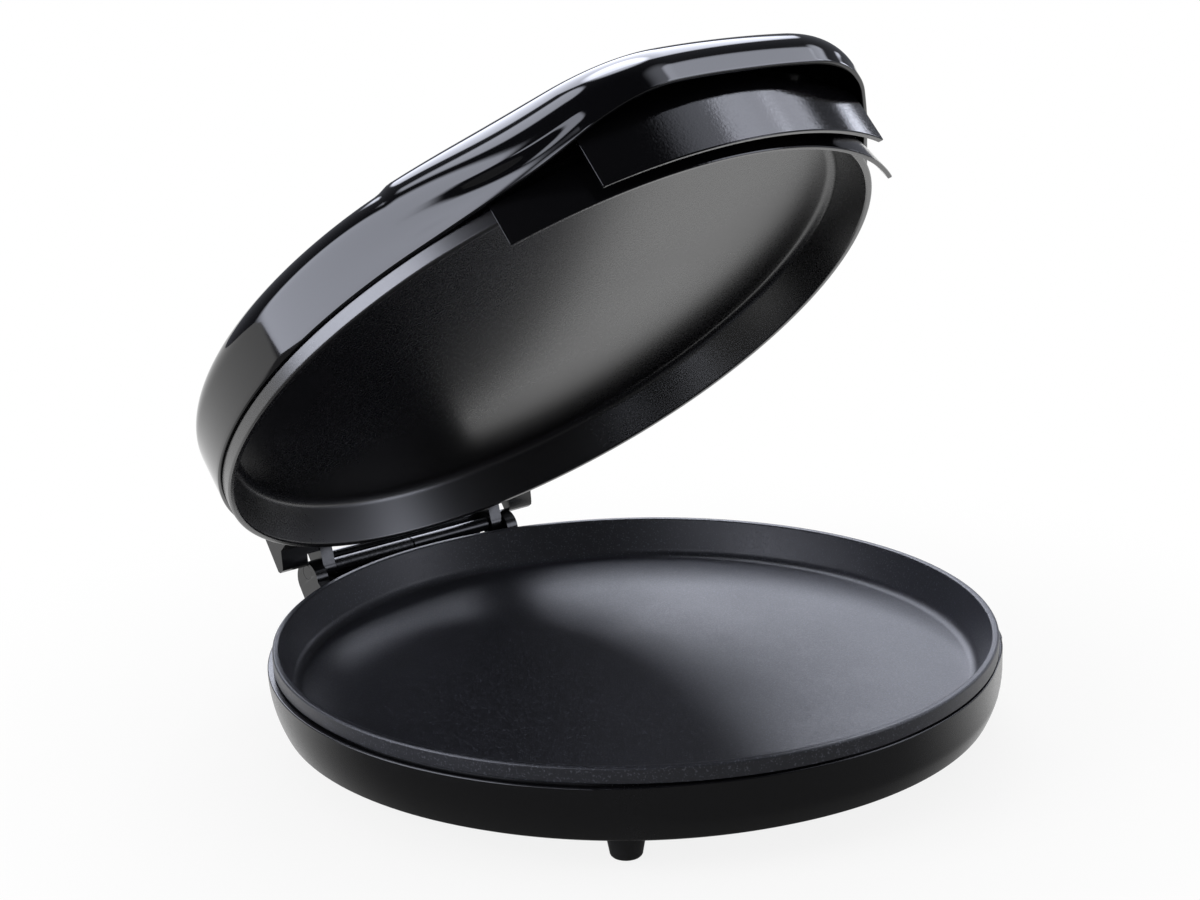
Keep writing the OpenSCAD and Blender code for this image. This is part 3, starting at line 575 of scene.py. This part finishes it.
def shell_column(phi, inset, walls=10, bends=12, tops=44):
    """Points from just above the lip to the middle of the dome at one angle. The shoulder is
    rounder and fuller at the corners of the brow, and the wall below it is slightly hollow."""
    lean_out = BULGE * hump(phi, BULGE_AT, BULGE_SPAN)
    lip_plan = plan_r(phi) - inset
    plan = lip_plan + lean_out
    bend = SHOULDER_R + CORNER_ROUND * hump(phi, CORNER_AT, CORNER_SPAN) - inset * 0.5
    top_r = plan - WALL_IN - bend
    droop = BROW_DROP * max(0.0, plan_r(phi) - LID_R) / DROOP_OVER
    spring = dome(plan) - inset - bend - droop
    lip = lip_z(phi) + LIP_ROUND
    column = []
    for k in range(walls + 1):
        t = k / walls
        hollow = HOLLOW * hump(phi, HOLLOW_AT, HOLLOW_SPAN) * math.sin(math.pi * t) ** 2
        column.append((lip_plan + (lean_out - WALL_IN) * t - hollow, lip + (spring - lip) * t))
    for k in range(1, bends + 1):
        a = math.pi / 2 * k / bends
        r = top_r + bend * math.cos(a)
        x, y = r * math.sin(phi), -r * math.cos(phi)
        column.append((r, spring + (bend + dome(r) - dome(plan) + ridge(x, y)) * math.sin(a)))
    for k in range(1, tops):
        r = top_r * (1 - k / tops)
        x, y = r * math.sin(phi), -r * math.cos(phi)
        column.append((r, dome(r) - inset + ridge(x, y) - droop * (r / top_r) ** DROOP_POWER))
    return [(r * math.sin(phi), -r * math.cos(phi), z) for r, z in column]


def make_shell():
    # closer together over the brow than round the back, with one at each end of the plan's curves
    turns = [math.radians(a) for a in [*np.arange(-60, 60, 0.75), *np.arange(60, 300, 1.5)]]
    turns += [FLANK, -FLANK, CORNER_START, -CORNER_START, CORNER_END, -CORNER_END]
    turns = sorted(set(round(t, 6) for t in turns))
    n = len(turns)
    loops = []
    for phi in turns:
        outer, inner = shell_column(phi, 0), shell_column(phi, SHELL_T, tops=12)
        p, z = plan_r(phi), lip_z(phi)
        # the lip's section, from the inside round to the outside: distance in from the wall, height
        lip = [(SHELL_T - 0.02, 0.45), (SHELL_T - 0.2, 0.13), (SHELL_T - 0.5, 0),
               (0.5, 0), (0.16, 0.12), (0.02, 0.4)]
        edge = [((p - d) * math.sin(phi), (d - p) * math.cos(phi), z + h) for d, h in lip]
        loops.append(inner[::-1] + edge + outer)
    m = len(loops[0])
    points = [p for loop in loops for p in loop]
    top = len(points)
    points += [(0, 0, dome(0) - SHELL_T + ridge(0, 0)), (0, 0, dome(0) + ridge(0, 0))]
    faces = []
    for i in range(n):
        j = (i + 1) % n
        faces += [[i * m + k, j * m + k, j * m + k + 1, i * m + k + 1] for k in range(m - 1)]
        faces += [[top, j * m, i * m], [top + 1, i * m + m - 1, j * m + m - 1]]
    build("lid_shell_dressed", points, faces, LID, "lid", "lid_gloss", "lid_shell",
          sharp=SHELL_SHARP)


make_shell()

# ---------- handle panels ----------

# each corner of a section as radius, height and round
GRIP = [(GUARD_TOP, GRIP_SEAT_Z, 0), (NECK_R - GRIP_T, GRIP_SEAT_Z, 0),
        (NECK_R - GRIP_T, NECK_Z, NECK_BEND - 2), (GRIP_R - GRIP_T, 0.4 - DROP, 0.4),
        (GRIP_R - 0.2, -DROP, 0.2), (GRIP_R, 0.6 - DROP, 0.2),
        (NECK_R, NECK_Z, NECK_BEND), (GRIP_SEAT_R, GRIP_TOP, 0.5), (GUARD_TOP, GRIP_TOP, 0)]
GUARD = [(GUARD_LOW - GUARD_T, -DROP - 0.4, 0.3), (GUARD_LOW - 0.3, -DROP - 0.6, 0.2),
         (GUARD_LOW, -DROP, 0.2), (GUARD_TOP, LIP - 0.3, 0.4),
         (GUARD_TOP - GUARD_T, LIP - 0.3, 0.2)]
for node_name, corners, (first_angle, whole_angle), steps in (
        ("handle_grip", GRIP, GRIP_SWEEP, 8), ("handle_guard", GUARD, GUARD_SWEEP, 4)):
    outline = rounded([(r, z) for r, z, _ in corners], [radius for _, _, radius in corners],
                      steps=steps)
    panel = turned(node_name + "_dressed", outline, LID, "lid", "handle_gloss", node_name,
                   start=first_angle, sweep=whole_angle, step=1)
    bevel(panel, PANEL_EDGE)

# ---------- hinge, feet and gland ----------

# body, radius of the edges, how far they are let down, and the nodes
for body_name, edge, sink, node_names in (
        ("lid", 0.6, 0.0, ("hinge_arm_left", "hinge_arm_right")),
        ("base", 0.6, 0.0, ("hinge_bracket_left", "hinge_bracket_right")),
        ("base", 0.3, 0.0, ("hinge_cover",)),
        ("base", 0.4, 0.0, ("hinge_sleeve_left", "hinge_sleeve_right")),
        ("base", 0.3, 0.0, ("pin_plug_left", "pin_plug_right")),
        ("base", 0.4, 0.0, ("foot_front_left", "foot_front_right",
                            "foot_rear_left", "foot_rear_right")),
        ("base", 0.3, 0.0, ("cord_gland",)),
        ("lid", 0.25, 1.0, ("power_lamp", "ready_lamp"))):
    for node_name in node_names:
        softened(node_name, body_name, edge, sink)

# ---------- stage ----------

WHITE = (1.0, 1.0, 1.0, 1.0)
AWAY = (0.64, 0.77, 0.0)  # level direction from the viewer's side of the room to the lit backdrop

# the floor to the camera: how much of it is plain white, by its distance in metres from the middle
SHADOW_WITHIN, SHADOW_GONE, WHITE_NEAR = 0.15, 0.4, 0.86
# the floor to a mirror: how bright it is, by its distance in metres along AWAY, and how much of it
# glows
DIM_UP_TO, LIT_FROM, DIM_FLOOR, MIRRORED = -0.14, 0.0, 0.16, 0.97
# the room to a mirror: how bright it is, by how far the look turns along AWAY
ROOM_FROM, ROOM_TO, ROOM_DIM, ROOM_LIT = -0.2, 0.9, 0.03, 0.2
# the room to matt surfaces
ROOM_PLAIN = 0.55

# round soft boxes far off, seen only by mirrors: azimuth in degrees from +Y towards +X, height,
# radius of the even middle, radius where the light ends, strength
SOFTBOXES = [
    (-74, 16, 26, 33, 5.8), (-118, 26, 5, 10, 4.5), (30, 42, 24, 27, 5.6), (30, 60, 12, 18, 8.0),
    (113, 43, 10, 13, 3.5), (95, 36, 4, 9, 3.4), (126, 50, 4, 20, 1.7), (80, 13, 5, 8, 5.0),
    (-32, 55, 8, 12, 5.5), (140, 15, 8, 15, 3.5), (110, 22, 10, 24, 0.5)]
SOFTBOX_TINT = "#eaeefd"

# area lamps for matt surfaces and the floor's shadow: name, place and size in metres, power in
# watts; all are aimed at one spot
LAMPS = [("key", (-1.7, 0.4, 0.9), (1.2, 0.9), 14), ("back", (0.9, 1.2, 1.6), (1.2, 0.8), 12),
         ("fill", (1.0, -1.5, 0.6), (1.0, 0.8), 6)]
AIM = (0, 0, 0.1)


def add_floor():
    # a hair below the feet, and wide enough to have no visible end
    bpy.ops.mesh.primitive_plane_add(size=24, location=(0, 0, -0.0002))
    floor = bpy.context.object
    floor.name = "floor"
    material = bpy.data.materials.new("pale paper sweep")
    material.use_nodes = True
    tree = material.node_tree
    shader = tree.nodes["Principled BSDF"]
    shader.inputs["Base Color"].default_value = linear("#f4f4f4")
    shader.inputs["Roughness"].default_value = 0.9
    shader.inputs["Specular IOR Level"].default_value = 0.0
    where = add_node(tree, "ShaderNodeTexCoord").outputs["Object"]
    path = add_node(tree, "ShaderNodeLightPath").outputs
    direct = add_node(tree, "ShaderNodeMath", {
        0: path["Is Camera Ray"], 1: path["Is Transmission Ray"]}, operation="MAXIMUM").outputs[0]
    # to the camera: white, with the object's shadow left in it near the object
    distance = add_node(tree, "ShaderNodeVectorMath", {0: where},
                        operation="LENGTH").outputs["Value"]
    seen = add_node(tree, "ShaderNodeMapRange", {
        "Value": distance, "From Min": SHADOW_WITHIN, "From Max": SHADOW_GONE,
        "To Min": WHITE_NEAR, "To Max": 1.0}, interpolation_type="SMOOTHSTEP").outputs["Result"]
    # to a mirror: white behind the object and dim in front of it, as where only the backdrop is lit
    depth = add_node(tree, "ShaderNodeVectorMath", {0: where, 1: AWAY},
                     operation="DOT_PRODUCT").outputs["Value"]
    lit = add_node(tree, "ShaderNodeMapRange", {
        "Value": depth, "From Min": DIM_UP_TO, "From Max": LIT_FROM,
        "To Min": DIM_FLOOR, "To Max": 1.0}, interpolation_type="SMOOTHSTEP").outputs["Result"]
    mirrored = add_node(tree, "ShaderNodeMath", {0: path["Is Glossy Ray"], 1: MIRRORED},
                        operation="MULTIPLY").outputs[0]
    # a Mix node's two numbers are its inputs 2 and 3
    share = add_node(tree, "ShaderNodeMix", {0: direct, 2: mirrored, 3: seen},
                     data_type="FLOAT").outputs[0]
    level = add_node(tree, "ShaderNodeMix", {0: direct, 2: lit, 3: 1.0},
                     data_type="FLOAT").outputs[0]
    glow = add_node(tree, "ShaderNodeEmission", {"Color": WHITE, "Strength": level}).outputs[0]
    surface = add_node(tree, "ShaderNodeMixShader", {0: share, 1: shader.outputs[0], 2: glow})
    tree.links.new(surface.outputs[0], tree.nodes["Material Output"].inputs["Surface"])
    floor.data.materials.append(material)


def add_world():
    """White to the camera and plain to matt surfaces. Mirrors see the backdrop, a dark room and the
    soft boxes."""
    world = bpy.data.worlds.new("studio")
    bpy.context.scene.world = world
    world.use_nodes = True
    tree = world.node_tree
    way = add_node(tree, "ShaderNodeTexCoord").outputs["Generated"]
    depth = add_node(tree, "ShaderNodeVectorMath", {0: way, 1: AWAY},
                     operation="DOT_PRODUCT").outputs["Value"]
    room = add_node(tree, "ShaderNodeMapRange", {
        "Value": depth, "From Min": ROOM_FROM, "From Max": ROOM_TO,
        "To Min": ROOM_DIM, "To Max": ROOM_LIT}, interpolation_type="SMOOTHSTEP").outputs["Result"]
    for azimuth, height, inner, outer, strength in SOFTBOXES:
        a, h = math.radians(azimuth), math.radians(height)
        box = (math.cos(h) * math.sin(a), math.cos(h) * math.cos(a), math.sin(h))
        near = add_node(tree, "ShaderNodeVectorMath", {0: way, 1: box},
                        operation="DOT_PRODUCT").outputs["Value"]
        light = add_node(tree, "ShaderNodeMapRange", {
            "Value": near, "From Min": math.cos(math.radians(outer)),
            "From Max": math.cos(math.radians(inner)),
            "To Min": 0.0, "To Max": strength}, interpolation_type="SMOOTHSTEP").outputs["Result"]
        room = add_node(tree, "ShaderNodeMath", {0: room, 1: light}, operation="ADD").outputs[0]
    path = add_node(tree, "ShaderNodeLightPath").outputs
    direct = add_node(tree, "ShaderNodeMath", {
        0: path["Is Camera Ray"], 1: path["Is Transmission Ray"]}, operation="MAXIMUM").outputs[0]
    plain = add_node(tree, "ShaderNodeMix", {0: path["Is Glossy Ray"], 2: ROOM_PLAIN, 3: room},
                     data_type="FLOAT").outputs[0]
    level = add_node(tree, "ShaderNodeMix", {0: direct, 2: plain, 3: 1.0},
                     data_type="FLOAT").outputs[0]
    # the soft boxes are a little cooler than the light on matt surfaces
    tint = add_node(tree, "ShaderNodeMix", {
        0: path["Is Glossy Ray"], 6: WHITE, 7: linear(SOFTBOX_TINT)}, data_type="RGBA").outputs[2]
    sky = tree.nodes["Background"]
    tree.links.new(tint, sky.inputs["Color"])
    tree.links.new(level, sky.inputs["Strength"])


def add_light(name, spot, size, power):
    """A soft box that lights the object and its floor; its mirror image is the world's."""
    lamp = bpy.data.lights.new(name, "AREA")
    lamp.shape, lamp.energy = "RECTANGLE", power
    lamp.size, lamp.size_y = size
    light = bpy.data.objects.new(name, lamp)
    bpy.context.scene.collection.objects.link(light)
    light.location = spot
    light.rotation_euler = (Vector(AIM) - Vector(spot)).to_track_quat("-Z", "Y").to_euler()
    light.visible_glossy = False


add_floor()
add_world()
for lamp_row in LAMPS:
    add_light(*lamp_row)
bpy.context.scene.view_settings.view_transform = "Standard"
